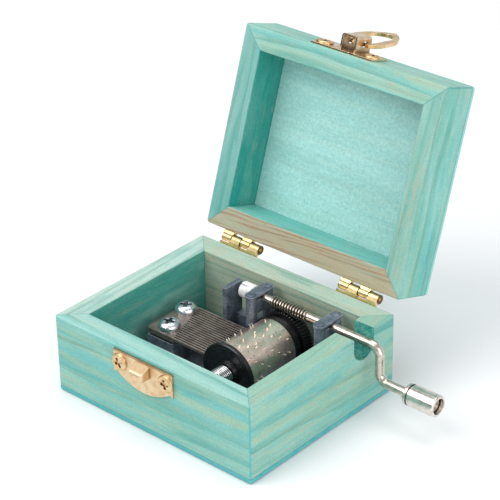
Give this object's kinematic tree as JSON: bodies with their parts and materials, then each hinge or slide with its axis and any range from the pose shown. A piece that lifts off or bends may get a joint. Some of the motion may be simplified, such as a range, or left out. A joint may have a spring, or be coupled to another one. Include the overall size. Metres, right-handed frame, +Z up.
{
  "type": "music box",
  "caption": "Small hinged wooden box holding a hand-cranked movement: pinned cylinder, tuned steel comb, worm drive and a side crank with a free-turning knob; hasp latch in front.",
  "frame": {"origin": "centre of the base's underside", "axes": "+X to the right along the front, towards the crank; +Y to the back, towards the hinges; +Z up. The lid is at rest open."},
  "size_m": [0.0863, 0.0996, 0.079],
  "materials": {
    "stained_wood": "turquoise stain, matt, open grain",
    "latch_brass": "satin brass plate",
    "hinge_brass": "polished brass plate",
    "zinc_casting": "cast zinc alloy, dull",
    "comb_steel": "ground spring steel",
    "plated_screws": "bright zinc plate",
    "tuning_lead": "dull grey",
    "bright_nickel": "bright nickel plate",
    "black_plastic": "moulded, slight sheen",
    "white_nylon": "moulded, soft sheen"
  },
  "bodies": {
    "box_base": {"base_bottom_panel": "stained_wood", "base_front_wall": "stained_wood", "base_back_wall": "stained_wood", "base_left_wall": "stained_wood", "base_right_wall": "stained_wood", "catch_plate": "latch_brass", "catch_plate_screws": "latch_brass", "hinge_base_screws": "hinge_brass", "hinge_left_base_leaf": "hinge_brass", "hinge_right_base_leaf": "hinge_brass", "hinge_left_pin": "hinge_brass", "hinge_right_pin": "hinge_brass", "movement_bedplate": "zinc_casting", "movement_mount_screws": "plated_screws", "comb": "comb_steel", "comb_screws": "plated_screws", "comb_spacer": "comb_steel", "comb_tuning_weights": "tuning_lead", "shaft_bridge_left": "zinc_casting", "shaft_bridge_right": "zinc_casting"},
    "lid": {"lid_top_panel": "stained_wood", "lid_front_wall": "stained_wood", "lid_back_wall": "stained_wood", "lid_left_wall": "stained_wood", "lid_right_wall": "stained_wood", "hasp_plate": "latch_brass", "hasp_plate_screws": "latch_brass", "hinge_lid_screws": "hinge_brass", "hinge_left_lid_leaf": "hinge_brass", "hinge_right_lid_leaf": "hinge_brass"},
    "hasp_loop": {"hasp_loop": "latch_brass"},
    "crank": {"crank_shaft": "bright_nickel", "shaft_sleeve": "white_nylon"},
    "knob": {"crank_knob": "bright_nickel"},
    "cylinder": {"cylinder_drum": "bright_nickel", "cylinder_pins": "bright_nickel", "cylinder_front_cap": "black_plastic", "cylinder_rear_flange": "black_plastic", "drive_gear": "black_plastic", "cylinder_arbor": "bright_nickel", "thrust_spring": "bright_nickel"}
  },
  "joints": [
    {"name": "lid_hinge", "type": "hinge", "parent": "box_base", "child": "lid", "pos_m": [0, 0.0289, 0.0225], "axis": [1, 0, 0], "range_deg": [0, 108.6]},
    {"name": "hasp_swing", "type": "hinge", "parent": "lid", "child": "hasp_loop", "pos_m": [-0.0015, 0.05331, 0.0759], "axis": [1, 0, 0], "range_deg": [0, 173]},
    {"name": "crank_spin", "type": "hinge", "parent": "box_base", "child": "crank", "pos_m": [0, 0.0154, 0.0193], "axis": [1, 0, 0], "continuous": true},
    {"name": "knob_spin", "type": "hinge", "parent": "crank", "child": "knob", "pos_m": [0.0498, 0.0154, 0.00985], "axis": [1, 0, 0], "continuous": true},
    {"name": "cylinder_spin", "type": "hinge", "parent": "box_base", "child": "cylinder", "pos_m": [0.007, 0, 0.0107], "axis": [0, 1, 0], "continuous": true}
  ],
  "couplings": [
    {"joint": "cylinder_spin", "follows": "crank_spin", "ratio": -0.019231}
  ]
}
